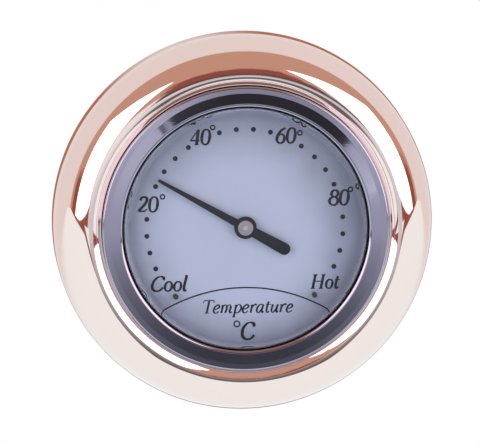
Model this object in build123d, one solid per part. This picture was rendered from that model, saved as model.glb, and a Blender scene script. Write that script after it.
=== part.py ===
from build123d import *
import math
import os

# A dial thermometer for the wall of a brewing vessel or kettle, in millimetres.
#
# The dial faces -Y and its lettering stands up along +Z. The origin is on the gauge's axis, in
# the plane of the vessel's wall, where the trim ring's foot sits. Everything in front of the
# wall is given by its height above it (along -Y), and everything behind by its depth (along +Y).

# ---- Head: driving radii and the widths that follow outwards from the window
window_r = 24.4            # what the bezel leaves of the lens
bezel_face_w = 4.3         # from the window to the bezel's outside
bezel_skirt = 0.6          # wall of the skirt and of its curled edge
bezel_to_ring = 0.15       # radial clearance to the trim ring
stack_gap = 0.2            # radial clearance inside the skirt
cup_flange_w = 0.7
curl_gap = 0.15            # from the cup to the curled edge and to the ring's ledge

# ---- Trim ring: a plated quarter-round ring that covers the hole in the wall
ring_dome_w = 7.4          # from the crest to the outside
ring_foot_h = 3.8          # straight foot below the quarter-round
ring_wall = 1.4
ring_inner_wall = 1.15     # the tube that guides the bezel
ring_slope = 21.0          # how far the flank inside the crest leans inwards, in degrees
ring_roll_w = 0.27         # rounding from the crest into that flank, across
ring_flank_w = 0.6         # its outer half
ring_step = 0.06           # fine step between its halves
ring_inner_flank_w = 0.7   # its inner half
ring_lip_w = 0.18          # flat lip between the flank and the bore
ring_lip_drop = 0.15       # step from the flank down to the lip
ring_ledge_thick = 1.0     # ledge under the bezel's curled edge
crest_below_bezel = 0.5

# ---- Bezel: a chromed ring curled over the whole front stack
bezel_face_thick = 0.7     # at the outer edge of the face
bezel_crown = 0.26         # how much higher the inner edge of the face is
bezel_edge_r = 0.4         # rounding of the outer edge
bezel_lip_round = 0.85     # rounding of the window's edge
bezel_lip_wall = 0.6
bezel_lip_gap = 0.2        # from the lip's end down to the lens

# ---- The stack inside the bezel, from the dial forwards
dial_thick = 0.5
spacer_thick = 2.4
spacer_show = 0.7          # how far the spacer stands inside the window
lens_flange_thick = 0.4
gasket_thick = 0.3
gasket_window_gap = 0.1    # from the lip's wall to the gasket

# ---- Lens: a thick flat-backed window with a rounded shoulder
lens_wall_gap = 0.2        # between the lens and the bezel's window
lens_shoulder_w = 1.7      # rounded shoulder, across
lens_side_h = 0.1          # straight side between flange and shoulder
lens_thick = 1.9           # from its back to the shoulder's top
lens_crown = 0.5

# ---- Case cup
cup_wall = 0.7
cup_floor_fillet = 1.2
under_dial_gap = 0.7       # from the upper bush to the dial

# ---- Backing plate and the screws that hold the trim ring to it
plate_gap = 0.8            # from the plate's edge to the ring's foot
plate_thick = 1.0
screw_count = 3
screw_r = 1.0
screw_grip = 4.0           # length in the ring's boss
screw_end_gap = 0.2
screw_head_w = 0.9         # how far the head stands out round the shank
screw_head_h = 1.2
screw_slot_w = 0.5
screw_slot_d = 0.5
screw_hole_gap = 0.1
boss_wall = 1.2
boss_gap = 0.4             # from the guide tube to the boss

# ---- Stem nipple: neck, hexagon, relief groove and wall thread
seal_thick = 2.0
seal_w = 3.0               # how far the seal stands out round the thread
seal_bore_gap = 0.1
collar_thick = 1.6
collar_w = 4.0             # from the thread to the hexagon's flats
neck_r = 5.0
neck_hole_gap = 0.1
neck_above_nut = 0.3
thread_r = 8.0             # M16, drawn as a plain cylinder at its major diameter
thread_length = 12.0
thread_chamfer = 0.8
relief_depth = 1.0
spigot_length = 4.0        # enters the probe tube
spigot_wall = 0.9

# ---- Nut and lock washer inside the cup
lock_washer_thick = 0.4
lock_washer_w = 2.4
case_nut_thick = 1.6
case_nut_wall = 2.0        # from the neck to the hexagon's flats

# ---- Probe
tube_wall = 0.3
tube_length = 47.0
tip_length = 3.0           # beyond the tube
tip_round = 2.0
plug_in_tube = 2.0
plug_spigot_length = 2.5

# ---- Shaft, bushes and coil
shaft_r = 0.5
running_gap = 0.05         # radial clearance of the two bearings
upper_bush_wall = 1.25
upper_bush_length = 3.0
upper_bush_flange_w = 0.8
upper_bush_flange_h = 0.5
guide_bush_gap = 8.0       # from the nipple's spigot to the bush
guide_bush_length = 3.0
hub_after_bush = 3.0
coil_hub_wall = 1.15
coil_hub_length = 4.0
coil_gap = 0.15            # between the coil and what it is welded to
strip_thick = 0.25
strip_width = 1.1
coil_pitch = 2.2
coil_on_hub = 2.6          # how far the coil overlaps its hub
coil_end_gap = 0.3         # from the coil to the plug's shoulder

# ---- Stop pins and scale
scale_margin = 4.8         # from the window to the circle of the scale and the pins
stop_angles = (225.0, -45.0)
stop_r = 0.5
stop_above_blade = 0.15
stop_tail = 0.3            # riveted end behind the dial
stop_round = 0.2

# ---- Pointer
pointer_reads = 150.6      # angle from +X towards +Z, as seen from the front
pointer_gap = 1.15         # from dial to blade
blade_thick = 0.3
blade_past_stops = 0.3
blade_tip_w = 0.6
blade_root_w = 1.66
tail_reach = 10.1
tail_root_w = 1.9
tail_end_w = 2.4
bush_wall = 0.45
bush_head_w = 0.575        # the head, foot and hub are wider than the bush's neck by this
bush_foot_w = 0.35
hub_w = 1.3
bush_head_h = 0.45
bush_foot_h = 0.35
bush_edge_r = 0.1
shaft_end_drop = 0.15      # leaves a dimple in the bush
dial_hole_gap = 0.4        # from the bush's foot to the dial's hole

# ---- Heights above the wall, worked out from the stack
collar_back = seal_thick
plate_back = collar_back + collar_thick
cup_back = plate_back + plate_thick
floor_front = cup_back + cup_wall
lock_washer_front = floor_front + lock_washer_thick
case_nut_front = lock_washer_front + case_nut_thick
neck_front = case_nut_front + neck_above_nut
cup_top = neck_front + upper_bush_flange_h + under_dial_gap
curl_top = cup_top - cup_wall
curl_back = curl_top - bezel_skirt
dial_front = cup_top + dial_thick
spacer_front = dial_front + spacer_thick
flange_front = spacer_front + lens_flange_thick
gasket_front = flange_front + gasket_thick
bezel_edge_h = gasket_front + bezel_face_thick
bezel_top_h = bezel_edge_h + bezel_crown
crest_h = bezel_edge_h - crest_below_bezel
blade_back = dial_front + pointer_gap
blade_front = blade_back + blade_thick
bush_front = blade_front + bush_head_h
lens_shoulder_top = spacer_front + lens_thick

# ---- Radii of the head
bezel_r = window_r + bezel_face_w
skirt_bore_r = bezel_r - bezel_skirt
stack_r = skirt_bore_r - stack_gap
cup_r = stack_r - cup_flange_w
ledge_r = cup_r + curl_gap
lens_side_r = window_r - lens_wall_gap
ring_bore_r = bezel_r + bezel_to_ring
guide_r = ring_bore_r + ring_inner_wall
flank_end_r = ring_bore_r + ring_lip_w
flank_step_r = flank_end_r + ring_inner_flank_w
flank_start_r = flank_step_r + ring_flank_w
ring_crest_r = flank_start_r + ring_roll_w
ring_r = ring_crest_r + ring_dome_w
plate_r = ring_r - ring_wall - plate_gap
boss_r = screw_r + boss_wall
screw_circle_r = guide_r + boss_gap + boss_r
stop_circle_r = window_r - scale_margin
blade_reach = stop_circle_r + blade_past_stops

# ---- Radii of the stem and of what turns in it
bearing_r = shaft_r + running_gap
nipple_bore_r = bearing_r + upper_bush_wall
tube_bore_r = nipple_bore_r + spigot_wall
tube_r = tube_bore_r + tube_wall
coil_hub_r = shaft_r + coil_hub_wall
bush_neck_r = shaft_r + bush_wall
bush_foot_r = bush_neck_r + bush_foot_w
neck_hole_r = neck_r + neck_hole_gap
relief_r = thread_r - relief_depth

# ---- Depths behind the wall
spigot_end = thread_length + spigot_length
tube_end = thread_length + tube_length
guide_bush_start = spigot_end + guide_bush_gap
guide_bush_end = guide_bush_start + guide_bush_length
coil_hub_start = guide_bush_end + hub_after_bush
shaft_end = coil_hub_start + coil_hub_length
plug_shoulder = tube_end - plug_in_tube
coil_start = shaft_end - coil_on_hub
coil_end = plug_shoulder - coil_end_gap

# A half-section is drawn as (radius, height) in this plane and turned about the gauge's axis.
SECTION = Plane(origin=(0, 0, 0), x_dir=(1, 0, 0), z_dir=(0, 0, -1))
AXIS = Axis.Y


def front(height):
    """The plane at a height above the wall, seen from the front: +X to the right, +Z up."""
    return Plane(origin=(0, -height, 0), x_dir=(1, 0, 0), z_dir=(0, -1, 0))


def turned(*edges):
    """The solid that a closed half-section makes when it is turned about the axis."""
    return revolve(SECTION * make_face(Curve() + list(edges)), AXIS)


def washer(bore, outer, back, height):
    """A plain ring, or a disc where the bore is 0."""
    return turned(Polyline((bore, back), (outer, back), (outer, height), (bore, height), close=True))


def on_circle(radius, angle):
    """A place in a front plane, by its angle from +X towards +Z."""
    return Pos(radius * math.cos(math.radians(angle)), radius * math.sin(math.radians(angle)))


def quarter_ellipse(centre, across, forwards):
    """A quarter of an ellipse in a half-section, from its outer side to its foremost point."""
    return EllipticalCenterArc(centre, across, forwards, start_angle=0, arc_size=90)


def ring_dome(inset):
    """The quarter-round from the ring's foot to its crest, moved inwards by a wall."""
    across = ring_r - ring_crest_r - inset
    return quarter_ellipse((ring_crest_r, ring_foot_h), across, crest_h - ring_foot_h - inset)


def circle_edges(solid, radius, height):
    """The round edges of a solid at that radius and height above the wall."""
    near = 0.01
    return [
        edge for edge in solid.edges().filter_by(GeomType.CIRCLE)
        if abs(edge.radius - radius) < near and abs(edge.center().Y + height) < near
    ]


def screw_places():
    """The angles of the trim ring's screws, with the first at the top."""
    return [90 + i * 360 / screw_count for i in range(screw_count)]


def make_trim_ring():
    slope = math.radians(ring_slope)
    roll_r = ring_roll_w / math.sin(slope)
    flank_h = crest_h - roll_r * (1 - math.cos(slope))
    step_h = flank_h - ring_flank_w * math.tan(slope)
    flank_end_h = step_h - ring_step - ring_inner_flank_w * math.tan(slope)
    lip_h = flank_end_h - ring_lip_drop
    ledge_back = curl_back - ring_ledge_thick
    under_crest = crest_h - ring_wall
    shell = turned(
        Polyline((ring_r - ring_wall, ring_foot_h), (ring_r - ring_wall, 0), (ring_r, 0), (ring_r, ring_foot_h)),
        ring_dome(0),
        RadiusArc((ring_crest_r, crest_h), (flank_start_r, flank_h), -roll_r),
        Polyline(
            (flank_start_r, flank_h), (flank_step_r, step_h), (flank_step_r, step_h - ring_step),
            (flank_end_r, flank_end_h), (flank_end_r, lip_h), (ring_bore_r, lip_h), (ring_bore_r, curl_back),
            (ledge_r, curl_back), (ledge_r, ledge_back), (guide_r, ledge_back), (guide_r, under_crest),
            (ring_crest_r, under_crest),
        ),
        ring_dome(ring_wall),
    )
    envelope = turned(
        Polyline((ring_crest_r, crest_h), (guide_r, crest_h), (guide_r, 0), (ring_r, 0), (ring_r, ring_foot_h)),
        ring_dome(0),
    )
    for angle in screw_places():
        place = on_circle(screw_circle_r, angle)
        boss = extrude(front(cup_back) * place * Circle(boss_r), crest_h - cup_back)
        shell += boss & envelope
    for angle in screw_places():
        place = on_circle(screw_circle_r, angle)
        shell -= extrude(front(cup_back) * place * Circle(screw_r), screw_grip + screw_end_gap)
    return shell


def make_bezel_ring():
    side_top = bezel_edge_h - bezel_edge_r
    edge = (bezel_r - bezel_edge_r, bezel_edge_h)
    crown = (window_r + bezel_lip_round, bezel_top_h)
    lip = (window_r, bezel_top_h - bezel_lip_round)
    lip_end = flange_front + bezel_lip_gap
    lip_wall_r = window_r + bezel_lip_wall
    return turned(
        Polyline((ledge_r, curl_back), (bezel_r, curl_back), (bezel_r, side_top)),
        RadiusArc((bezel_r, side_top), edge, -bezel_edge_r),
        Line(edge, crown),
        RadiusArc(crown, lip, -bezel_lip_round),
        Polyline(
            lip, (window_r, lip_end), (lip_wall_r, lip_end), (lip_wall_r, gasket_front),
            (skirt_bore_r, gasket_front), (skirt_bore_r, curl_top), (ledge_r, curl_top), (ledge_r, curl_back),
        ),
    )


def make_lens_gasket():
    gasket_bore_r = window_r + bezel_lip_wall + gasket_window_gap
    return washer(gasket_bore_r, stack_r, flange_front, gasket_front)


def dome_radius(width, rise):
    """The radius of a dome that rises that much over that half-width."""
    return (width**2 + rise**2) / (2 * rise)


def make_lens():
    dome_w = lens_side_r - lens_shoulder_w
    top = lens_shoulder_top + lens_crown
    side = flange_front + lens_side_h
    return turned(
        RadiusArc((0, top), (dome_w, lens_shoulder_top), dome_radius(dome_w, lens_crown)),
        quarter_ellipse((dome_w, side), lens_shoulder_w, lens_shoulder_top - side),
        Polyline(
            (lens_side_r, side), (lens_side_r, flange_front), (stack_r, flange_front),
            (stack_r, spacer_front), (0, spacer_front), (0, top),
        ),
    )


def make_dial_plate():
    plate = washer(bush_foot_r + dial_hole_gap, stack_r, cup_top, dial_front)
    for angle in stop_angles:
        plate -= extrude(front(cup_top) * on_circle(stop_circle_r, angle) * Circle(stop_r), dial_thick)
    return plate


def make_stop_pins():
    back = cup_top - stop_tail
    length = blade_front + stop_above_blade - back
    pins = []
    for angle in stop_angles:
        pin = extrude(front(back) * on_circle(stop_circle_r, angle) * Circle(stop_r), length)
        pins.append(fillet(pin.edges().sort_by(Axis.Y)[0], stop_round))
    return Compound(pins)


def make_case_cup():
    bore = cup_r - cup_wall
    cup = turned(
        Polyline(
            (neck_hole_r, cup_back), (cup_r, cup_back), (cup_r, curl_top), (stack_r, curl_top),
            (stack_r, cup_top), (bore, cup_top), (bore, floor_front), (neck_hole_r, floor_front),
            close=True,
        )
    )
    cup = fillet(circle_edges(cup, cup_r, cup_back), cup_floor_fillet)
    return fillet(circle_edges(cup, bore, floor_front), cup_floor_fillet - cup_wall)


def make_backing_plate():
    plate = washer(neck_hole_r, plate_r, plate_back, cup_back)
    for angle in screw_places():
        hole = Circle(screw_r + screw_hole_gap)
        plate -= extrude(front(plate_back) * on_circle(screw_circle_r, angle) * hole, plate_thick)
    return plate


def make_ring_screws():
    screws = []
    head_back = plate_back - screw_head_h
    head_r = screw_r + screw_head_w
    for angle in screw_places():
        place = on_circle(screw_circle_r, angle)
        shank = extrude(front(plate_back) * place * Circle(screw_r), plate_thick + screw_grip)
        head = extrude(front(head_back) * place * Circle(head_r), screw_head_h)
        slot = extrude(front(head_back) * place * Rectangle(2 * head_r, screw_slot_w), screw_slot_d)
        screws.append(head + shank - slot)
    return Compound(screws)


def make_stem_nipple():
    hexagon = RegularPolygon(thread_r + collar_w, 6, major_radius=False)
    body = extrude(front(collar_back) * hexagon, collar_thick)
    body += washer(0, neck_r, collar_back, neck_front)
    body += washer(0, relief_r, 0, collar_back)
    body += turned(
        Polyline(
            (0, 0), (thread_r, 0), (thread_r, thread_chamfer - thread_length),
            (thread_r - thread_chamfer, -thread_length), (0, -thread_length), close=True,
        )
    )
    body += washer(0, tube_bore_r, -spigot_end, -thread_length)
    return body - washer(0, nipple_bore_r, -spigot_end, neck_front)


def make_case_nut():
    hexagon = RegularPolygon(neck_r + case_nut_wall, 6, major_radius=False) - Circle(neck_r)
    return extrude(front(lock_washer_front) * hexagon, case_nut_thick)


def make_stem_tube():
    return washer(tube_bore_r, tube_r, -tube_end, -thread_length)


def make_tip_plug():
    cap = washer(0, tube_r, -tube_end - tip_length, -tube_end)
    cap = fillet(cap.edges().sort_by(Axis.Y)[-1], tip_round)
    cap += washer(0, tube_bore_r, -tube_end, -plug_shoulder)
    return cap + washer(0, coil_hub_r, -plug_shoulder, plug_spigot_length - plug_shoulder)


def make_upper_bush():
    flange_r = nipple_bore_r + upper_bush_flange_w
    body = washer(bearing_r, nipple_bore_r, neck_front - upper_bush_length, neck_front)
    return body + washer(bearing_r, flange_r, neck_front, neck_front + upper_bush_flange_h)


def make_guide_bush():
    return washer(bearing_r, tube_bore_r, -guide_bush_end, -guide_bush_start)


def make_bimetal_coil():
    """A flat strip wound round the axis, from the coil hub to the tip plug's spigot."""
    mean_r = coil_hub_r + coil_gap + strip_thick / 2
    length = coil_end - coil_start - strip_width
    start = Vector(mean_r, coil_start + strip_width / 2, 0)
    path = Helix(coil_pitch, length, mean_r, center=(0, start.Y, 0), direction=(0, 1, 0))
    section = Plane(origin=path @ 0, x_dir=(path @ 0) - Vector(0, start.Y, 0), z_dir=path % 0)
    return sweep(section * Rectangle(strip_thick, strip_width), path=path, is_frenet=True)


def make_coil_hub():
    return washer(shaft_r, coil_hub_r, -shaft_end, -coil_hub_start)


def make_pointer_shaft():
    return washer(0, shaft_r, -shaft_end, bush_front - shaft_end_drop)


def tapered(root_w, end_w, reach):
    """A tapered arm with a round end, from the centre out to its reach along X."""
    end = Pos(reach - math.copysign(end_w / 2, reach), 0) * Circle(end_w / 2)
    return make_hull(Circle(root_w / 2).edges() + end.edges())


def make_pointer_blade():
    outline = tapered(blade_root_w, blade_tip_w, blade_reach) + Circle(bush_neck_r + hub_w)
    outline += tapered(tail_root_w, tail_end_w, -tail_reach)
    outline -= Circle(bush_neck_r)
    return extrude(front(blade_back) * Rot(0, 0, pointer_reads) * outline, blade_thick)


def make_pointer_bush():
    foot_back = blade_back - bush_foot_h
    head_r = bush_neck_r + bush_head_w
    edge_h = bush_front - bush_edge_r
    return turned(
        Polyline(
            (shaft_r, bush_front), (shaft_r, foot_back), (bush_foot_r, foot_back), (bush_foot_r, blade_back),
            (bush_neck_r, blade_back), (bush_neck_r, blade_front), (head_r, blade_front), (head_r, edge_h),
        ),
        RadiusArc((head_r, edge_h), (head_r - bush_edge_r, bush_front), -bush_edge_r),
        Line((head_r - bush_edge_r, bush_front), (shaft_r, bush_front)),
    )


nodes = {
    "trim_ring": make_trim_ring(),
    "bezel_ring": make_bezel_ring(),
    "lens_gasket": make_lens_gasket(),
    "lens": make_lens(),
    "spacer_ring": washer(window_r - spacer_show, stack_r, dial_front, spacer_front),
    "dial_plate": make_dial_plate(),
    "stop_pins": make_stop_pins(),
    "case_cup": make_case_cup(),
    "case_lock_washer": washer(neck_hole_r, neck_r + lock_washer_w, floor_front, lock_washer_front),
    "case_nut": make_case_nut(),
    "backing_plate": make_backing_plate(),
    "ring_screws": make_ring_screws(),
    "stem_nipple": make_stem_nipple(),
    "seal_washer": washer(relief_r + seal_bore_gap, thread_r + seal_w, 0, seal_thick),
    "stem_tube": make_stem_tube(),
    "tip_plug": make_tip_plug(),
    "upper_bush": make_upper_bush(),
    "guide_bush": make_guide_bush(),
    "bimetal_coil": make_bimetal_coil(),
    "coil_hub": make_coil_hub(),
    "pointer_shaft": make_pointer_shaft(),
    "pointer_blade": make_pointer_blade(),
    "pointer_bush": make_pointer_bush(),
}

os.makedirs("parts", exist_ok=True)
for name, solid in nodes.items():
    export_step(solid, f"parts/{name}.step")
    print(f"{name}: {len(solid.solids())} solid(s), {solid.volume:.2f} mm3")
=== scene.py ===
# %% [markdown]
# A dial thermometer for the wall of a kettle or a boiler, seen from the front. Its solids
# come packed, at their real size, and stay where they are. What is left to do here is the
# finish of every surface, the printing on the dial, the wall thread, the light and the camera.

# %% Load the solids
import math
import bmesh
import bpy
from mathutils import Matrix, Vector


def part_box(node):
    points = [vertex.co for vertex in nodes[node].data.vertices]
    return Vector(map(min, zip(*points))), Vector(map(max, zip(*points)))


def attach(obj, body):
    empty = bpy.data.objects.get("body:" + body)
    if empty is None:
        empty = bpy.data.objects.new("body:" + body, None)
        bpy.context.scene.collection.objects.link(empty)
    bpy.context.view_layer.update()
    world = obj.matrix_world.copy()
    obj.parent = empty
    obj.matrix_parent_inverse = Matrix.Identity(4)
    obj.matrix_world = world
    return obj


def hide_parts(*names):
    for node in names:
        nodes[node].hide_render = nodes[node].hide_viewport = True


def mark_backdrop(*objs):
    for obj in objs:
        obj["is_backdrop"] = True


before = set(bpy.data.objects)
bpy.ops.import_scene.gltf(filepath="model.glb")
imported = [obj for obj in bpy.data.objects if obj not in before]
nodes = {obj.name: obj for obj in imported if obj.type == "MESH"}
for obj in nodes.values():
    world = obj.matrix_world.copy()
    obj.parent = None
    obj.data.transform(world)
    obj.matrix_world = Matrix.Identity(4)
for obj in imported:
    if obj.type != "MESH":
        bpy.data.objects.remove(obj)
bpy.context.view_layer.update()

# %% [markdown]
# Every size is in metres. The wall's outer face is the plane y = 0, the probe points along
# +Y and the dial looks along -Y. The heights below are read from the solids, so the print
# lies on the dial and the thread on its stem, whatever the solids' sizes are.

# %% Sizes read from the solids
mm = 0.001
ring_low, ring_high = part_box("trim_ring")
dial_low, dial_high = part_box("dial_plate")
bezel_low, bezel_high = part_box("bezel_ring")
nipple_low, nipple_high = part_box("stem_nipple")
dial_face = dial_low.y
bezel_face = bezel_low.y
print("dial face at", round(dial_face / mm, 2), "mm, bezel face at", round(bezel_face / mm, 2), "mm")

# %% [markdown]
# The camera stands far away with a long lens, as a catalogue photographer does, so that the
# round ring isn't swollen by perspective. It looks a little down on the dial and from a
# little to the left. The picture's middle isn't quite the dial's middle.

# %% Camera
view_turn = math.radians(-4.5)
view_rise = math.radians(9.8)
view_distance = 1.6
picture_width = 0.0955
sensor = 36.0

towards_camera = Vector((
    math.sin(view_turn) * math.cos(view_rise),
    -math.cos(view_turn) * math.cos(view_rise),
    math.sin(view_rise),
))
camera_turn = (-towards_camera).to_track_quat("-Z", "Y")
aim = Vector((0, bezel_face, 0)) + camera_turn @ Vector((-1.24 * mm, 1.48 * mm, 0))

camera_data = bpy.data.cameras.new("camera")
camera_data.sensor_width = sensor
camera_data.lens = sensor * view_distance / picture_width
camera = bpy.data.objects.new("camera", camera_data)
camera.rotation_euler = camera_turn.to_euler()
camera.location = aim + towards_camera * view_distance
bpy.context.scene.collection.objects.link(camera)
bpy.context.scene.camera = camera
print("lens:", round(camera_data.lens), "mm at", view_distance, "m")

# %% [markdown]
# Shader trees are built in code here. One small helper adds a node, sets it and joins its
# inputs, and it is all that the materials need.

# %% A helper that adds a shader node
def add(tree, kind, inputs=None, **settings):
    node = tree.nodes.new(kind)
    for name, value in settings.items():
        setattr(node, name, value)
    for name, value in (inputs or {}).items():
        if isinstance(value, bpy.types.NodeSocket):
            tree.links.new(value, node.inputs[name])
        else:
            node.inputs[name].default_value = value
    return node


def maths(tree, operation, *values, clamp=False):
    inputs = dict(enumerate(values))
    return add(tree, "ShaderNodeMath", inputs, operation=operation, use_clamp=clamp).outputs[0]


def between(tree, value, low, high):
    """0 below low, 1 above high, and a smooth step between them."""
    step = add(tree, "ShaderNodeMapRange", {"Value": value, "From Min": low, "From Max": high})
    step.interpolation_type = "SMOOTHSTEP"
    return step.outputs["Result"]


def fading(tree, value, low, high, factor=1.0):
    """The factor below low, 0 above high, and a smooth step between them."""
    rest = maths(tree, "SUBTRACT", 1.0, between(tree, value, low, high))
    return maths(tree, "MULTIPLY", rest, factor)


def blend_colours(tree, factor, first, second):
    """The first colour where the factor is 0, the second where it is 1."""
    mix = tree.nodes.new("ShaderNodeMix")
    mix.data_type = "RGBA"
    tree.links.new(factor, mix.inputs["Factor"])
    for socket, colour in ((mix.inputs[6], first), (mix.inputs[7], second)):
        if isinstance(colour, bpy.types.NodeSocket):
            tree.links.new(colour, socket)
        else:
            socket.default_value = (*colour, 1)
    return mix.outputs[2]


# %% [markdown]
# Polished plating has hardly a colour of its own: it shows the room. So the room is part of
# the finish. It is a plain studio: a white sweep behind and below, a grey room in front, and
# the dark gap where the photographer stands between two large soft lamps. A metal that
# mirrors only an even grey looks like plastic, and the dark gap is what makes it look metal.

# %% The room around the object
sweep_colour = (0.80, 0.84, 0.86)
room_colour = (0.525, 0.335, 0.26)
curtain_colour = (0.24, 0.052, 0.034)
stand_high_colour = (0.87, 0.98, 1.09)
stand_low_colour = (0.63, 0.71, 0.83)
stand_near_colour = (0.085, 0.10, 0.115)
stand_shadow_colour = (0.365, 0.41, 0.46)
dark_colour = (0.055, 0.055, 0.062)
# Painted reflection: the next colour is a dark red-brown painted into the room and the floor just past the object,
# where the camera sees white, so that the ring's edge mirrors it as a thin dark brown outline.
painted_outline_colour = (0.42, 0.16, 0.10)
light_colour = (0.87, 0.93, 1.0)
far_behind = (0.075, 0.970, -0.230)


def past_the_object(tree, direction):
    """1 for directions near far_behind, just past the object and a little down, and 0 elsewhere."""
    ahead = add(tree, "ShaderNodeVectorMath", {0: direction, 1: far_behind}, operation="DOT_PRODUCT")
    return between(tree, ahead.outputs["Value"], 0.905, 0.935)


def studio_world():
    world = bpy.data.worlds.new("studio")
    world.use_nodes = True
    tree = world.node_tree
    tree.nodes.clear()
    direction = add(tree, "ShaderNodeTexCoord").outputs["Generated"]
    parts = add(tree, "ShaderNodeSeparateXYZ", {"Vector": direction})
    x, y, z = parts.outputs
    ahead = maths(tree, "MAXIMUM", maths(tree, "MULTIPLY", y, -1.0), 0.02)
    side = maths(tree, "DIVIDE", x, ahead)
    across = maths(tree, "ABSOLUTE", side)
    up = maths(tree, "DIVIDE", z, ahead)
    torn = add(tree, "ShaderNodeTexNoise", {"Vector": direction, "Scale": 26.0, "Detail": 4.0, "Roughness": 0.65})
    torn = maths(tree, "MULTIPLY_ADD", torn.outputs["Fac"], 0.20, -0.10)

    left_edge = maths(tree, "ADD", maths(tree, "MULTIPLY_ADD", up, 0.40, 0.055), side)
    right_edge = maths(tree, "ADD", maths(tree, "MULTIPLY_ADD", up, 0.10, -0.235), side)
    torn_left = maths(tree, "MULTIPLY_ADD", torn, 1.0, left_edge)
    torn_right = maths(tree, "MULTIPLY_ADD", torn, 0.8, right_edge)
    torn_up = maths(tree, "ADD", torn, up)
    gap = fading(tree, torn_up, 0.33, 0.43, between(tree, torn_left, -0.012, 0.012))
    gap = fading(tree, torn_right, -0.012, 0.012, gap)
    lower_edge = maths(tree, "MULTIPLY", maths(tree, "MAXIMUM", maths(tree, "SUBTRACT", side, 0.09), 0.0), 0.30)
    lower_edge = maths(tree, "ADD", maths(tree, "ADD", lower_edge, 0.036), up)
    gap = maths(tree, "MULTIPLY", gap, between(tree, maths(tree, "MULTIPLY_ADD", torn, 0.15, lower_edge), -0.006, 0.006))

    stand_across = maths(tree, "ABSOLUTE", maths(tree, "SUBTRACT", side, 0.05))
    stand = fading(tree, stand_across, 0.28, 0.32, fading(tree, up, 0.09, 0.14))
    stand_depth = between(tree, up, -0.175, -0.065)
    shadow = maths(tree, "ABSOLUTE", maths(tree, "SUBTRACT", side, 0.10))
    shadow = fading(tree, shadow, 0.03, 0.10, between(tree, up, -0.13, -0.09))
    torn_z = maths(tree, "MULTIPLY_ADD", torn, 1.6, z)
    patch = fading(tree, across, 3.2, 4.2, between(tree, across, 1.5, 1.9))
    patch = maths(tree, "MULTIPLY", patch, fading(tree, torn_z, 0.10, 0.26))
    edge = fading(tree, z, -0.112, -0.100)
    behind = between(tree, y, -0.17, -0.09)

    stand_colour = blend_colours(tree, stand_depth, stand_low_colour, stand_high_colour)
    stand_colour = blend_colours(tree, maths(tree, "MULTIPLY", shadow, 0.75), stand_colour, stand_shadow_colour)
    gap_colour = blend_colours(tree, between(tree, up, 0.06, 0.10), dark_colour, curtain_colour)
    colour = blend_colours(tree, maths(tree, "MAXIMUM", patch, edge), room_colour, curtain_colour)
    colour = blend_colours(tree, stand, colour, stand_colour)
    colour = blend_colours(tree, gap, colour, gap_colour)
    colour = blend_colours(tree, behind, colour, sweep_colour)
    # painted reflection: dark red-brown just past the object, which the ring's edge mirrors as its outline
    colour = blend_colours(tree, past_the_object(tree, direction), colour, painted_outline_colour)
    colour = blend_colours(tree, add(tree, "ShaderNodeLightPath").outputs["Is Camera Ray"], colour, (1, 1, 1))
    background = add(tree, "ShaderNodeBackground", {"Color": colour, "Strength": 1.0})
    add(tree, "ShaderNodeOutputWorld", {"Surface": background.outputs[0]})
    return world


bpy.context.scene.world = studio_world()
bpy.context.scene.view_settings.view_transform = "Standard"
print("world:", bpy.context.scene.world.name)

# %% [markdown]
# Two large soft lamps stand in front, left and right of the camera, each turned to the dial.
# Their shapes are what the plated ring shows as its two white crescents.

# %% Soft lamps
lamp_turn = math.radians(39)
lamp_distance = 1.0
lamp_width, lamp_height = 0.82, 0.76
lamp_middle_z = 0.26
lamp_radiance = 2.1


def soft_lamp(name, turn):
    data = bpy.data.lights.new(name, "AREA")
    data.shape = "RECTANGLE"
    data.size = lamp_width
    data.size_y = lamp_height
    data.color = light_colour
    data.energy = lamp_radiance * math.pi * lamp_width * lamp_height
    lamp = bpy.data.objects.new(name, data)
    place = Vector((math.sin(turn), -math.cos(turn), 0)) * lamp_distance
    lamp.rotation_euler = (-place).to_track_quat("-Z", "Y").to_euler()
    lamp.location = place + Vector((0, 0, lamp_middle_z))
    lamp.visible_camera = False
    bpy.context.scene.collection.objects.link(lamp)
    return lamp


lamps = [soft_lamp("lamp_left", -lamp_turn), soft_lamp("lamp_right", lamp_turn)]
print("lamps:", len(lamps), "of", round(lamps[0].data.energy, 1), "W")

# %% [markdown]
# The floor is a white sheet some way below the object, and the camera sees it plain white. It ends a little in front
# of the object, as a table does, and past its edge the room is dark. What the metal mirrors of the floor is painted in
# its shader, as painted reflections that the camera doesn't see. There is a pale blue glow in front, brighter than
# white. There is a dark red line across it some way in front of the object, which the ring shows as the fine dark line
# where the crescents end. And there is a dark patch for the photographer's stand, paler with its distance.

# %% Floor
floor_drop = 0.07
floor_front = 0.42
floor_back = 1.6
floor_half_width = 2.0


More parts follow.
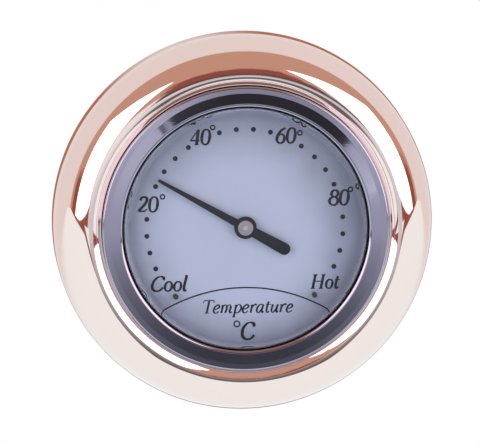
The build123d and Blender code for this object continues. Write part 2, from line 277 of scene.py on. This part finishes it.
def stage_floor():
    mesh = bpy.data.meshes.new("floor")
    shape = bmesh.new()
    bmesh.ops.create_grid(shape, x_segments=1, y_segments=1, size=1.0)
    bmesh.ops.scale(shape, vec=(floor_half_width, (floor_front + floor_back) / 2, 1), verts=shape.verts)
    bmesh.ops.translate(shape, vec=(0, (floor_back - floor_front) / 2, -floor_drop), verts=shape.verts)
    shape.to_mesh(mesh)
    shape.free()
    floor = bpy.data.objects.new("floor", mesh)
    bpy.context.scene.collection.objects.link(floor)

    material = bpy.data.materials.new("floor_paper")
    material.use_nodes = True
    tree = material.node_tree
    tree.nodes.clear()
    place = add(tree, "ShaderNodeTexCoord").outputs["Object"]
    x, y = add(tree, "ShaderNodeSeparateXYZ", {"Vector": place}).outputs[:2]
    ahead = maths(tree, "MAXIMUM", maths(tree, "MULTIPLY", y, -1.0), 0.001)
    side = maths(tree, "DIVIDE", x, ahead)
    across = maths(tree, "ABSOLUTE", side)
    stand_across = maths(tree, "ABSOLUTE", maths(tree, "SUBTRACT", side, 0.07))
    reach = maths(tree, "SQRT", maths(tree, "ADD", maths(tree, "MULTIPLY", x, x), maths(tree, "MULTIPLY", y, y)))
    # Painted reflections, seen only in what the metal mirrors: a dark red line in front of the object and the dark
    # patch of the photographer's stand.
    line_ahead = maths(tree, "MULTIPLY_ADD", between(tree, across, 0.10, 0.60), 0.10, 0.27)
    past_line = maths(tree, "SUBTRACT", ahead, line_ahead)
    wider = maths(tree, "MULTIPLY", between(tree, across, 0.40, 0.80), 0.06)
    in_front = fading(tree, y, -0.06, -0.03)
    line = fading(tree, maths(tree, "SUBTRACT", past_line, wider), 0.020, 0.034, between(tree, past_line, -0.030, -0.014))
    stand = fading(tree, stand_across, 0.28, 0.34, between(tree, reach, 0.110, 0.122))
    nearness = add(tree, "ShaderNodeMapRange", {"Value": reach, "From Min": 0.135, "From Max": 0.41}).outputs["Result"]
    stand_colour = blend_colours(tree, nearness, stand_near_colour, stand_low_colour)
    glow_colour = blend_colours(tree, between(tree, y, 0.02, 0.16), (0.91, 1.11, 1.18), sweep_colour)
    mirrored = blend_colours(tree, maths(tree, "MULTIPLY", line, in_front), glow_colour, curtain_colour)
    mirrored = blend_colours(tree, maths(tree, "MULTIPLY", stand, in_front), mirrored, stand_colour)
    from_ring = add(tree, "ShaderNodeVectorMath", {0: place, 1: (0, 0, 0.036)}, operation="ADD").outputs[0]
    direction = add(tree, "ShaderNodeVectorMath", {0: from_ring}, operation="NORMALIZE").outputs[0]
    # painted reflection: dark red-brown just past the object, which the ring's edge mirrors as its outline
    mirrored = blend_colours(tree, past_the_object(tree, direction), mirrored, painted_outline_colour)
    path = add(tree, "ShaderNodeLightPath").outputs
    mirrored = blend_colours(tree, path["Is Camera Ray"], mirrored, (1, 1, 1))
    paper = add(tree, "ShaderNodeBsdfDiffuse", {"Color": (0.75, 0.75, 0.75, 1)})
    seen = add(tree, "ShaderNodeEmission", {"Color": mirrored, "Strength": 1.0})
    looked_at = maths(tree, "MAXIMUM", path["Is Camera Ray"], maths(
        tree, "MAXIMUM", path["Is Glossy Ray"], path["Is Transmission Ray"]))
    mixed = add(tree, "ShaderNodeMixShader", {0: looked_at, 1: paper.outputs[0], 2: seen.outputs[0]})
    add(tree, "ShaderNodeOutputMaterial", {"Surface": mixed.outputs[0]})
    mesh.materials.append(material)
    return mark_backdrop(floor)


floor = stage_floor()
print("floor:", round(floor_drop / mm), "mm below the dial's middle")

# %% [markdown]
# A finish is a Principled shader with its plain numbers set on its own sockets, and only what
# changes over the surface comes from nodes.

# %% A helper that starts a finish
def finish(name, colour, **values):
    material = bpy.data.materials.new(name)
    material.use_nodes = True
    tree = material.node_tree
    tree.nodes.clear()
    shader = add(tree, "ShaderNodeBsdfPrincipled", {"Base Color": (*colour, 1)})
    for socket, value in values.items():
        shader.inputs[socket.replace("_", " ")].default_value = value
    add(tree, "ShaderNodeOutputMaterial", {"Surface": shader.outputs[0]})
    return material, tree, shader


# %% [markdown]
# No surface is quite even. One node group holds the small faults that all of them share, as
# plain masks between 0 and 1: soft smudges, fine scratches, a grain, and the rings that a
# lathe leaves round the axis. Each finish then takes what suits it.

# %% The wear that all the finishes share
def wear_masks():
    group = bpy.data.node_groups.new("wear", "ShaderNodeTree")
    for name in ("Smudges", "Scratches", "Grain", "Turning"):
        group.interface.new_socket(name, in_out="OUTPUT", socket_type="NodeSocketFloat")
    place = add(group, "ShaderNodeTexCoord").outputs["Object"]
    smudges = add(group, "ShaderNodeTexNoise", {"Vector": place, "Scale": 70.0, "Detail": 3.0}).outputs["Fac"]
    long_marks = add(group, "ShaderNodeMapping", {"Vector": place, "Rotation": (0.2, 0.5, 0.1), "Scale": (40, 900, 1100)})
    marks = add(group, "ShaderNodeTexNoise", {"Vector": long_marks.outputs[0], "Scale": 1.0, "Detail": 2.0})
    grain = add(group, "ShaderNodeTexNoise", {"Vector": place, "Scale": 4000.0, "Detail": 1.0}).outputs["Fac"]
    rings = add(group, "ShaderNodeTexWave", {"Vector": place, "Scale": 1200.0, "Distortion": 0.6}, wave_type="RINGS",
                rings_direction="Y")
    outputs = {
        "Smudges": between(group, smudges, 0.35, 0.70), "Scratches": between(group, marks.outputs["Fac"], 0.60, 0.72),
        "Grain": grain, "Turning": rings.outputs["Fac"],
    }
    add(group, "NodeGroupOutput", outputs)
    return group


wear = wear_masks()


def worn(tree, shader, roughness, rough_mask, relief_mask, relief):
    """Roughness between two values by one mask, and a relief of some micrometres by another."""
    masks = add(tree, "ShaderNodeGroup", node_tree=wear).outputs
    range_ = add(tree, "ShaderNodeMapRange", {"Value": masks[rough_mask], "To Min": roughness[0], "To Max": roughness[1]})
    tree.links.new(range_.outputs["Result"], shader.inputs["Roughness"])
    bump = add(tree, "ShaderNodeBump", {"Height": masks[relief_mask], "Distance": relief * 1e-6})
    tree.links.new(bump.outputs[0], shader.inputs["Normal"])
    return masks


# %% The finishes
rose_gold, tree, shader = finish("rose_gold", (0.93, 0.56, 0.45), Metallic=0.9,
                                 Coat_Weight=1.0, Coat_IOR=4.0, Coat_Roughness=0.02)
worn(tree, shader, (0.03, 0.06), "Smudges", "Scratches", 0.15)

chrome, tree, shader = finish("chrome", (0.435, 0.377, 0.456), Metallic=1.0)
worn(tree, shader, (0.03, 0.08), "Smudges", "Scratches", 0.3)

glass, tree, shader = finish("glass", (1, 1, 1), Roughness=0.0, IOR=1.49, Transmission_Weight=1.0,
                             Specular_Tint=(0.4, 0.4, 0.4, 1))

silver, tree, shader = finish("silver", (0.42, 0.45, 0.62), Metallic=0.0)
masks = worn(tree, shader, (0.45, 0.60), "Smudges", "Grain", 1.5)
# Painted shade: the dial darkens towards its rim, where the bezel shades it. It is darker at the top and right, since
# the middle of the darkening lies 1.0 mm left of and 1.4 mm below the axis. The smudges make the edge of the shade
# uneven.
place = add(tree, "ShaderNodeTexCoord").outputs["Object"]
across, depth, upwards = add(tree, "ShaderNodeSeparateXYZ", {"Vector": place}).outputs
across = maths(tree, "ADD", across, 1.0 * mm)
upwards = maths(tree, "ADD", upwards, 1.4 * mm)
radius = maths(tree, "SQRT", maths(
    tree, "ADD", maths(tree, "MULTIPLY", across, across), maths(tree, "MULTIPLY", upwards, upwards)))
uneven_shade_radius = maths(tree, "MULTIPLY_ADD", masks["Smudges"], 2.0 * mm, radius)
painted_rim_shade = maths(tree, "POWER", between(tree, uneven_shade_radius, 11.5 * mm, 26.0 * mm), 1.2)
# the painted shade turns the silver to a dark blue-grey at the rim
colour = blend_colours(tree, maths(tree, "MULTIPLY", painted_rim_shade, 0.86), (0.44, 0.47, 0.625), (0.13, 0.135, 0.20))
grain = blend_colours(tree, maths(tree, "MULTIPLY", masks["Grain"], 0.10), colour, (0.60, 0.63, 0.80))
tree.links.new(grain, shader.inputs["Base Color"])

black, tree, shader = finish("black_paint", (0.007, 0.006, 0.010), Specular_IOR_Level=0.2)
worn(tree, shader, (0.40, 0.60), "Smudges", "Grain", 2.0)

plain_metals = {
    "steel": ((0.62, 0.60, 0.60), 1.0, (0.18, 0.32), "Turning", 1.0),
    "zinc": ((0.55, 0.56, 0.58), 1.0, (0.30, 0.50), "Grain", 2.0),
    "brass": ((0.36, 0.31, 0.34), 1.0, (0.40, 0.55), "Turning", 0.6),
    "blued_steel": ((0.045, 0.043, 0.058), 0.6, (0.35, 0.50), "Grain", 1.0),
    "bimetal": ((0.50, 0.47, 0.44), 1.0, (0.25, 0.45), "Scratches", 1.0),
    "satin_ring": ((0.35, 0.36, 0.45), 0.5, (0.35, 0.50), "Turning", 1.0),
}
metals = {}
for name, (colour, metallic, roughness, relief_mask, relief) in plain_metals.items():
    metals[name], tree, shader = finish(name, colour, Metallic=metallic)
    masks = worn(tree, shader, roughness, "Smudges", relief_mask, relief)
    dulled = blend_colours(tree, maths(tree, "MULTIPLY", masks["Scratches"], 0.25), colour, [0.6 * c for c in colour])
    tree.links.new(dulled, shader.inputs["Base Color"])

rubber, tree, shader = finish("rubber", (0.09, 0.09, 0.11))
worn(tree, shader, (0.55, 0.75), "Smudges", "Grain", 8.0)
silicone, tree, shader = finish("silicone", (0.7, 0.68, 0.64), Subsurface_Weight=0.1, Subsurface_Scale=0.001)
worn(tree, shader, (0.40, 0.60), "Smudges", "Grain", 4.0)
print("finishes:", len([m for m in bpy.data.materials if m.users or m.use_nodes]))

finishes = {
    rose_gold: ["trim_ring"],
    chrome: ["bezel_ring"],
    glass: ["lens"],
    silver: ["dial_plate"],
    black: ["pointer_blade"],
    metals["blued_steel"]: ["stop_pins"],
    metals["steel"]: ["case_cup", "stem_nipple", "stem_tube", "tip_plug", "pointer_shaft"],
    metals["bimetal"]: ["bimetal_coil"],
    metals["zinc"]: ["case_lock_washer", "case_nut", "backing_plate", "ring_screws"],
    metals["brass"]: ["upper_bush", "guide_bush", "coil_hub", "pointer_bush"],
    rubber: ["lens_gasket"],
    metals["satin_ring"]: ["spacer_ring"],
    silicone: ["seal_washer"],
}
for material, names in finishes.items():
    for name in names:
        nodes[name].data.materials.clear()
        nodes[name].data.materials.append(material)

# %% [markdown]
# The lens and the bezel are what everything is seen through and mirrored in, and a facet in
# either bends the picture. So both are turned again here, finer than the solids come, from
# the same half-sections: a list of radii and heights that is spun about the gauge's axis.

# %% The lens and the bezel, turned finely
def arc_points(start, end, bulge_centre, steps):
    """Points from start to end on the quarter-ellipse about a centre, given in millimetres."""
    across = max(abs(start[0] - bulge_centre[0]), abs(end[0] - bulge_centre[0]))
    forwards = max(abs(start[1] - bulge_centre[1]), abs(end[1] - bulge_centre[1]))
    first = math.atan2((start[1] - bulge_centre[1]) / forwards, (start[0] - bulge_centre[0]) / across)
    last = math.atan2((end[1] - bulge_centre[1]) / forwards, (end[0] - bulge_centre[0]) / across)
    turns = [first + (last - first) * i / steps for i in range(steps + 1)]
    return [
        (bulge_centre[0] + across * math.cos(turn), bulge_centre[1] + forwards * math.sin(turn)) for turn in turns
    ]


def turned_piece(name, outline, material, sharp=30):
    """A half-section, as (radius, height) in millimetres, spun about the gauge's axis."""
    shape = bmesh.new()
    corners = [shape.verts.new((radius * mm, -height * mm, 0)) for radius, height in outline]
    edges = [shape.edges.new(pair) for pair in zip(corners, corners[1:])]
    if outline[0][0] > 0:
        edges.append(shape.edges.new((corners[-1], corners[0])))
    bmesh.ops.spin(
        shape, geom=corners + edges, cent=(0, 0, 0), axis=(0, 1, 0), angle=math.tau, steps=256, use_merge=True,
        use_normal_flip=False,
    )
    bmesh.ops.remove_doubles(shape, verts=shape.verts, dist=1e-7)
    bmesh.ops.recalc_face_normals(shape, faces=shape.faces)
    for face in shape.faces:
        face.smooth = True
    for edge in shape.edges:
        edge.smooth = edge.calc_face_angle(0) < math.radians(sharp)
    mesh = bpy.data.meshes.new(name)
    shape.to_mesh(mesh)
    shape.free()
    mesh.materials.append(material)
    piece = bpy.data.objects.new(name, mesh)
    bpy.context.scene.collection.objects.link(piece)
    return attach(piece, "head")


window_r = 24.4
lens_low, lens_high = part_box("lens")
lens_back = -lens_high.y / mm
lens_front = -lens_low.y / mm
flange_r = lens_high.x / mm
flange_front = lens_back + 0.4
side_r = window_r - 0.2
side_top = flange_front + 0.1
dome_r = side_r - 1.3
shoulder_top = lens_front - 0.5
crown_steps = 40
crown_radius = (dome_r**2 + 0.5**2) / (2 * 0.5)
crown = []
for i in range(crown_steps + 1):
    radius = dome_r * (1 - i / crown_steps)
    crown.append((radius, lens_front - crown_radius + math.sqrt(crown_radius**2 - radius**2)))
shoulder = arc_points((side_r, side_top), (dome_r, shoulder_top), (dome_r, side_top), 20)
outline = [(0, lens_back), (flange_r, lens_back), (flange_r, flange_front), (side_r, flange_front)]
lens = turned_piece("lens_glass", outline + shoulder + crown[1:], glass)
lens.visible_shadow = False
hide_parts("lens")

bezel_r = bezel_high.x / mm
bezel_back = -bezel_high.y / mm
bezel_top = -bezel_low.y / mm
lip_round = 0.85
face_w = bezel_r - 0.4 - window_r - lip_round
outer_slope, inner_slope = math.tan(math.radians(2.6)), math.tan(math.radians(5.1))
inner_w, bend_w = 0.64 * face_w, 0.05 * face_w
outer_w = face_w - inner_w - bend_w
bezel_edge = bezel_top - inner_w * inner_slope - bend_w * (inner_slope + outer_slope) / 2 - outer_w * outer_slope
ledge_r = bezel_r - 0.6 - 0.2 - 0.7 + 0.15
gasket_front = bezel_edge - 0.7
edge_arc = arc_points((bezel_r, bezel_edge - 0.4), (bezel_r - 0.4, bezel_edge), (bezel_r - 0.4, bezel_edge - 0.4), 10)
lip_start = (window_r + lip_round, bezel_top)
lip_end = (window_r, bezel_top - lip_round)
lip_arc = arc_points(lip_start, lip_end, (window_r + lip_round, bezel_top - lip_round), 18)
bend_r = bezel_r - 0.4 - outer_w
bend_h = bezel_edge + outer_w * outer_slope
face = [
    (bezel_r - 0.5, bezel_edge + 0.1 * outer_slope), (bend_r + 0.1, bend_h - 0.1 * outer_slope), (bend_r, bend_h),
    (bend_r - bend_w, bezel_top - inner_w * inner_slope), (bend_r - bend_w - 0.1, bezel_top - (inner_w - 0.1) * inner_slope),
    (lip_start[0] + 0.1, bezel_top - 0.1 * inner_slope),
]
outline = [(ledge_r, bezel_back), (bezel_r, bezel_back), *edge_arc, *face, *lip_arc]
outline += [
    (window_r, flange_front + 0.2), (window_r + 0.6, flange_front + 0.2), (window_r + 0.6, gasket_front),
    (bezel_r - 0.6, gasket_front), (bezel_r - 0.6, bezel_back + 0.6), (ledge_r, bezel_back + 0.6),
]
bezel = turned_piece("bezel_chrome", outline, chrome, sharp=24)
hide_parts("bezel_ring")

ring_r = ring_high.x / mm
crest_h = -ring_low.y / mm
crest_r = ring_r - 7.4
foot_h = 3.8
bore_r = bezel_r + 0.15
crest_slope, flank_slope = math.radians(15.5), math.radians(26)
crest_roll_r = 0.5
crest_w = crest_roll_r * math.sin(crest_slope)
crest_drop = crest_roll_r * (1 - math.cos(crest_slope))
flank_roll_r = (crest_r - crest_w - bore_r - 0.18) / (math.sin(flank_slope) - math.sin(crest_slope))
dome = arc_points((ring_r, foot_h), (crest_r, crest_h), (crest_r, foot_h), 64)
roll = [
    (crest_r - crest_roll_r * math.sin(turn), crest_h - crest_roll_r * (1 - math.cos(turn)))
    for turn in (crest_slope * i / 8 for i in range(1, 9))
]
for i in range(1, 17):
    turn = crest_slope + (flank_slope - crest_slope) * i / 16
    roll.append((
        crest_r - crest_w - flank_roll_r * (math.sin(turn) - math.sin(crest_slope)),
        crest_h - crest_drop - flank_roll_r * (math.cos(crest_slope) - math.cos(turn)),
    ))
roll = [(radius, height - (0.05 if radius < bore_r + 0.9 else 0)) for radius, height in roll]
flank_end_r, flank_end_h = roll[-1]
inner_dome = arc_points((crest_r, crest_h - 1.4), (ring_r - 1.4, foot_h), (crest_r, foot_h), 24)
outline = [(ring_r - 1.4, 0), (ring_r, 0), *dome, *roll]
outline += [
    (flank_end_r, flank_end_h - 0.15), (bore_r, flank_end_h - 0.15), (bore_r, bezel_back),
    (ledge_r, bezel_back), (ledge_r, bezel_back - 1), (bore_r + 1.15, bezel_back - 1), (bore_r + 1.15, crest_h - 1.4),
]
ring = turned_piece("ring_rose_gold", outline + inner_dome, rose_gold, sharp=18)
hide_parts("trim_ring")
print("faces:", [len(piece.data.polygons) for piece in (lens, bezel, ring)])

# %% [markdown]
# Behind the head, the stem's wall thread is a plain cylinder in the solids. Here it becomes a
# real one: a core that is turned, a ridge that winds round it and fades at both ends, and the
# hexagon that a spanner takes. All three are one piece.

# %% The threaded stem
root_r, crest_thread_r, pitch = 6.95, 8.0, 2.0
thread_end, spigot_r, bore, neck_r = -12.0, 2.42, 1.65, 4.95
collar_h = (2.0, 3.6)
hexagon_flats = 24.0
neck_front = -nipple_low.y / mm
spigot_end = -nipple_high.y / mm


def add_thread(shape, start, turns, steps=64):
    """A ridge of four edges that winds about the axis from a height downwards."""
    rows = []
    count = round(turns * steps)
    for i in range(count + 1):
        turn = math.tau * i / steps
        height = start - pitch * i / steps
        fade = min(1.0, i / (steps / 2), (count - i) / (steps / 2))
        tip_r = root_r + (crest_thread_r - root_r) * fade
        section = [(root_r - 0.1, 0.85), (tip_r, 0.14), (tip_r, -0.14), (root_r - 0.1, -0.85)]
        rows.append([
            shape.verts.new((r * math.cos(turn) * mm, -(height + rise) * mm, r * math.sin(turn) * mm))
            for r, rise in section
        ])
    for row, following in zip(rows, rows[1:]):
        for i in range(4):
            j = (i + 1) % 4
            shape.faces.new((row[i], row[j], following[j], following[i]))
    shape.faces.new(rows[0])
    shape.faces.new(rows[-1])


outline = [
    (bore, spigot_end), (spigot_r, spigot_end), (spigot_r, thread_end), (root_r - 0.8, thread_end),
    (root_r, thread_end + 0.8), (root_r, collar_h[0]), (neck_r, collar_h[1]), (neck_r, neck_front), (bore, neck_front),
]
stem = turned_piece("stem_threaded", outline, metals["steel"])
shape = bmesh.new()
shape.from_mesh(stem.data)
add_thread(shape, start=-0.9, turns=5.1)
corners = bmesh.ops.create_cone(
    shape, cap_ends=True, segments=6, radius1=hexagon_flats / math.sqrt(3) * mm, radius2=hexagon_flats / math.sqrt(3) * mm,
    depth=(collar_h[1] - collar_h[0]) * mm,
    matrix=Matrix.Translation((0, -sum(collar_h) / 2 * mm, 0)) @ Matrix.Rotation(math.radians(90), 4, "X"),
)["verts"]
hexagon_edges = list({edge for corner in corners for edge in corner.link_edges})
bmesh.ops.bevel(shape, geom=hexagon_edges, offset=0.3 * mm, segments=2, profile=0.5, affect="EDGES", material=-1)
bmesh.ops.recalc_face_normals(shape, faces=shape.faces)
shape.to_mesh(stem.data)
shape.free()
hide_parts("stem_nipple")
print("thread:", round(crest_thread_r * 2), "mm across,", pitch, "mm pitch,", len(stem.data.polygons), "faces")


# %% [markdown]
# The scale is printed on the dial in a slanted book letter with thick and thin strokes. The
# font that comes with the program is a plain one, so each letter is written as a pen would
# write it: a smooth curve through a few points, thick where the pen goes down and thin where
# it goes across. Each stroke is a curve with a bevel, whose radius at each point gives that
# width, and once it is a mesh it is pressed flat. Letters are drawn in their own height, with
# the baseline at 0 and the top of a capital at 1.

# %% Letters as pen strokes
letters = {
    "0": (0.60, [("loop", [(0.30, 1.00), (0.07, 0.50), (0.30, 0.00), (0.53, 0.50)])]),
    "2": (0.60, [
        ("pen", [(0.10, 0.77), (0.16, 0.94), (0.31, 1.00), (0.47, 0.88), (0.45, 0.66), (0.28, 0.34), (0.06, 0.05)]),
        ("bar", [(0.06, 0.05), (0.46, 0.05)]),
        ("hair", [(0.46, 0.05), (0.55, 0.20)]),
    ]),
    "4": (0.60, [
        ("hair", [(0.42, 1.00), (0.03, 0.27)]),
        ("bar", [(0.03, 0.27), (0.57, 0.27)]),
        ("pen", [(0.42, 1.00), (0.42, 0.00)]),
        ("hair", [(0.30, 0.01), (0.54, 0.01)]),
    ]),
    "6": (0.60, [
        ("pen", [(0.50, 1.00), (0.26, 0.82), (0.11, 0.50), (0.09, 0.28)]),
        ("loop", [(0.31, 0.60), (0.09, 0.30), (0.30, 0.00), (0.53, 0.30)]),
    ]),
    "8": (0.60, [
        ("loop", [(0.31, 1.00), (0.12, 0.78), (0.31, 0.55), (0.50, 0.78)]),
        ("loop", [(0.31, 0.55), (0.06, 0.27), (0.30, 0.00), (0.55, 0.27)]),
    ]),
    "C": (0.72, [
        ("pen", [(0.66, 0.76), (0.60, 0.93), (0.43, 1.00), (0.20, 0.84), (0.09, 0.48), (0.17, 0.12), (0.40, 0.00),
                 (0.59, 0.09), (0.69, 0.26)]),
        ("hair", [(0.66, 1.00), (0.66, 0.74)]),
    ]),
    "H": (0.86, [
        ("pen", [(0.18, 1.00), (0.18, 0.00)]),
        ("pen", [(0.66, 1.00), (0.66, 0.00)]),
        ("hair", [(0.18, 0.52), (0.66, 0.52)]),
        ("hair", [(0.06, 0.99), (0.30, 0.99)]),
        ("hair", [(0.06, 0.01), (0.30, 0.01)]),
        ("hair", [(0.54, 0.99), (0.78, 0.99)]),
        ("hair", [(0.54, 0.01), (0.78, 0.01)]),
    ]),
    "T": (0.70, [
        ("pen", [(0.37, 1.00), (0.37, 0.00)]),
        ("bar", [(0.06, 0.98), (0.68, 0.98)]),
        ("hair", [(0.06, 0.98), (0.03, 0.78)]),
        ("hair", [(0.68, 0.98), (0.69, 0.78)]),
        ("hair", [(0.24, 0.01), (0.50, 0.01)]),
    ]),
    "a": (0.52, [
        ("pen", [(0.39, 0.56), (0.27, 0.64), (0.10, 0.46), (0.07, 0.14), (0.17, 0.00), (0.31, 0.14), (0.40, 0.50)]),
        ("pen", [(0.41, 0.63), (0.38, 0.18), (0.42, 0.02), (0.51, 0.09)]),
    ]),
    "e": (0.46, [
        ("pen", [(0.08, 0.28), (0.28, 0.34), (0.38, 0.48), (0.31, 0.62), (0.18, 0.58), (0.07, 0.30), (0.13, 0.05),
                 (0.25, 0.00), (0.40, 0.13)]),
    ]),
    "l": (0.30, [
        ("pen", [(0.13, 1.08), (0.13, 0.12), (0.18, 0.01), (0.27, 0.08)]),
        ("hair", [(0.03, 1.03), (0.13, 1.08)]),
    ]),
    "m": (0.80, [
        ("pen", [(0.12, 0.62), (0.12, 0.00)]),
        ("pen", [(0.12, 0.42), (0.27, 0.63), (0.37, 0.50), (0.36, 0.00)]),
        ("pen", [(0.37, 0.42), (0.52, 0.63), (0.62, 0.50), (0.61, 0.12), (0.66, 0.01), (0.76, 0.09)]),
        ("hair", [(0.02, 0.55), (0.12, 0.62)]),
    ]),
    "o": (0.50, [("loop", [(0.26, 0.64), (0.07, 0.32), (0.25, 0.00), (0.44, 0.32)])]),
    "p": (0.54, [
        ("pen", [(0.15, 0.62), (0.13, -0.32)]),
        ("pen", [(0.15, 0.44), (0.31, 0.64), (0.47, 0.46), (0.43, 0.14), (0.27, 0.00), (0.15, 0.10)]),
        ("hair", [(0.03, -0.32), (0.25, -0.32)]),
        ("hair", [(0.04, 0.55), (0.15, 0.62)]),
    ]),
    "r": (0.42, [
        ("pen", [(0.13, 0.62), (0.13, 0.00)]),
        ("pen", [(0.13, 0.38), (0.24, 0.58), (0.36, 0.64), (0.40, 0.56)]),
        ("hair", [(0.03, 0.55), (0.13, 0.62)]),
    ]),
    "t": (0.36, [
        ("pen", [(0.17, 0.86), (0.15, 0.16), (0.20, 0.01), (0.33, 0.10)]),
        ("hair", [(0.04, 0.62), (0.34, 0.62)]),
    ]),
    "u": (0.54, [
        ("pen", [(0.12, 0.62), (0.10, 0.18), (0.17, 0.01), (0.31, 0.14), (0.41, 0.44)]),
        ("pen", [(0.42, 0.62), (0.40, 0.16), (0.44, 0.02), (0.53, 0.09)]),
        ("hair", [(0.02, 0.57), (0.12, 0.62)]),
    ]),
}
print("letters:", "".join(letters))

# %% A pen with thick and thin strokes
pen_lean = math.radians(12)
pen_widths = {"thin": 0.080, "thick": 0.190, "bar": 0.100}
letter_slant = 0.17
ink_height = 0.02 * mm


def pen_width(kind, before, after):
    """How thick a stroke is where it goes from one point towards another, in letter heights."""
    if kind in ("hair", "bar"):
        return pen_widths["thin" if kind == "hair" else "bar"]
    way = math.atan2(after[1] - before[1], after[0] - before[0])
    share = abs(math.sin(way - pen_lean))
    return pen_widths["thin"] + (pen_widths["thick"] - pen_widths["thin"]) * share


def add_stroke(curve, kind, points, height, place, boldness=1.0):
    """One stroke of a letter, as a smooth spline through its points."""
    closed = kind == "loop"
    spline = curve.splines.new("BEZIER")
    spline.bezier_points.add(len(points) - 1)
    spline.use_cyclic_u = closed
    for i, (knot, point) in enumerate(zip(spline.bezier_points, points)):
        before = points[i - 1] if closed or i else point
        after = points[(i + 1) % len(points)] if closed or i + 1 < len(points) else point
        knot.co = (*place(point), 0)
        knot.radius = pen_width(kind, before, after) * height * boldness / 2
        knot.handle_left_type = knot.handle_right_type = "AUTO"


def lay_on_dial(name, curve):
    """A flat curve's mesh, pressed to the height of ink and laid on the dial."""
    drawn = bpy.data.objects.new(name, curve)
    mesh = bpy.data.meshes.new_from_object(drawn)
    bpy.data.objects.remove(drawn)
    mesh.name = name
    thickest = max(abs(vertex.co.z) for vertex in mesh.vertices)
    mesh.transform(Matrix.Scale(ink_height / thickest, 4, Vector((0, 0, 1))))
    mesh.transform(Matrix.Rotation(math.radians(90), 4, "X"))
    mesh.transform(Matrix.Translation((0, dial_face, 0)))
    mesh.materials.clear()
    mesh.materials.append(print_black)
    piece = bpy.data.objects.new(name, mesh)
    bpy.context.scene.collection.objects.link(piece)
    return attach(piece, "head")


def new_ink(name):
    curve = bpy.data.curves.new(name, "CURVE")
    curve.dimensions = "3D"
    curve.twist_mode = "Z_UP"
    curve.bevel_depth = 1.0
    curve.bevel_resolution = 0
    curve.resolution_u = 6
    curve.use_fill_caps = True
    return curve


def write(name, text, centre, height, width, slant=letter_slant, boldness=1.0):
    """A word or number with its middle at a place on the dial, given as (x, z) in millimetres."""
    curve = new_ink(name)
    natural = sum(letters[letter][0] for letter in text) * height
    stretch = width / natural
    start = 0.0
    for letter in text:
        advance, strokes = letters[letter]

        def place(point, start=start):
            x = (start + point[0] * height + slant * (point[1] - 0.5) * height) * stretch - width / 2
            return (centre[0] * mm + x, centre[1] * mm + (point[1] - 0.5) * height)

        for kind, points in strokes:
            add_stroke(curve, kind, points, height, place, boldness)
        start += advance * height
    return lay_on_dial(name, curve)


print_black, tree, shader = finish("print_black", (0.008, 0.007, 0.013), Specular_IOR_Level=0.2)
worn(tree, shader, (0.50, 0.70), "Smudges", "Grain", 2.0)

digit_height = 3.0 * mm
number_width = 4.1 * mm
numbers = {20: (-19.2, 4.7), 40: (-8.8, 18.1), 60: (8.2, 18.2), 80: (18.8, 5.6)}
for number, centre in numbers.items():
    write(f"number_{number}", str(number), centre, digit_height, number_width, slant=0.12, boldness=1.12)

write("word_cool", "Cool", (-15.0, -11.35), 2.95 * mm, 7.4 * mm)
write("word_hot", "Hot", (16.1, -11.3), 2.8 * mm, 5.8 * mm)
write("word_temperature", "Temperature", (0.6, -16.1), 2.6 * mm, 18.3 * mm, boldness=0.82)
write("celsius_letter", "C", (0.6, -21.1), 3.4 * mm, 2.9 * mm, slant=0.08)
print("printed:", len(numbers), "numbers and 4 words")

# %% [markdown]
# The small rings of the degree signs, the dots of the scale and the fine arc of the scale are plain shapes, so they
# come straight from circles.

# %% Degree signs, dots and a line
degree_signs = {
    "degree_20": (-16.4, 6.2, 0.43), "degree_40": (-6.4, 20.0, 0.43), "degree_60": (10.95, 18.7, 0.43),
    "degree_80": (21.05, 7.2, 0.43), "degree_celsius": (-1.6, -19.65, 0.56),
}
degree_pen = 0.15 * mm
for name, (x, z, radius) in degree_signs.items():
    curve = new_ink(name)
    spline = curve.splines.new("BEZIER")
    spline.bezier_points.add(3)
    spline.use_cyclic_u = True
    for i, knot in enumerate(spline.bezier_points):
        turn = math.radians(90 * i)
        knot.co = ((x + radius * math.cos(turn)) * mm, (z + radius * math.sin(turn)) * mm, 0)
        knot.radius = degree_pen
        knot.handle_left_type = knot.handle_right_type = "AUTO"
    lay_on_dial(name, curve)

dot_circle = 19.6 * mm
dot_radius = 0.5 * mm
zero_angle = 215.0
degrees_per_celsius = 2.5
labelled = (0, 20, 40, 60, 80, 100)


def scale_dots():
    shape = bmesh.new()
    for reading in range(0, 101, 4):
        if reading in labelled:
            continue
        turn = math.radians(zero_angle - degrees_per_celsius * reading)
        place = Matrix.Translation((dot_circle * math.cos(turn), dial_face, dot_circle * math.sin(turn)))
        place = place @ Matrix.Rotation(math.radians(90), 4, "X")
        bmesh.ops.create_cone(
            shape, cap_ends=True, segments=32, radius1=dot_radius, radius2=dot_radius, depth=2 * ink_height, matrix=place,
        )
    mesh = bpy.data.meshes.new("scale_dots")
    shape.to_mesh(mesh)
    shape.free()
    mesh.materials.append(print_black)
    piece = bpy.data.objects.new("scale_dots", mesh)
    bpy.context.scene.collection.objects.link(piece)
    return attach(piece, "head")


def fine_line(name, centre_z, radius, start, end, pen):
    """An arc drawn with a fine pen, from one angle to another, in degrees from +X towards +Z."""
    curve = new_ink(name)
    spline = curve.splines.new("POLY")
    steps = 96
    spline.points.add(steps)
    for i, knot in enumerate(spline.points):
        turn = math.radians(start + (end - start) * i / steps)
        knot.co = (radius * math.cos(turn), centre_z + radius * math.sin(turn), 0, 1)
        knot.radius = pen / 2
    return lay_on_dial(name, curve)


dots = scale_dots()
arc_radius = 32.0 * mm
arc_top = -12.3 * mm
arc_half = math.degrees(math.asin(16.7 / 32.0))
arc = fine_line("scale_arc", arc_top - arc_radius, arc_radius, 90 - arc_half, 90 + arc_half, 0.30 * mm)
print("dots:", len(dots.data.polygons) // 34, "arc half-angle:", round(arc_half, 1))
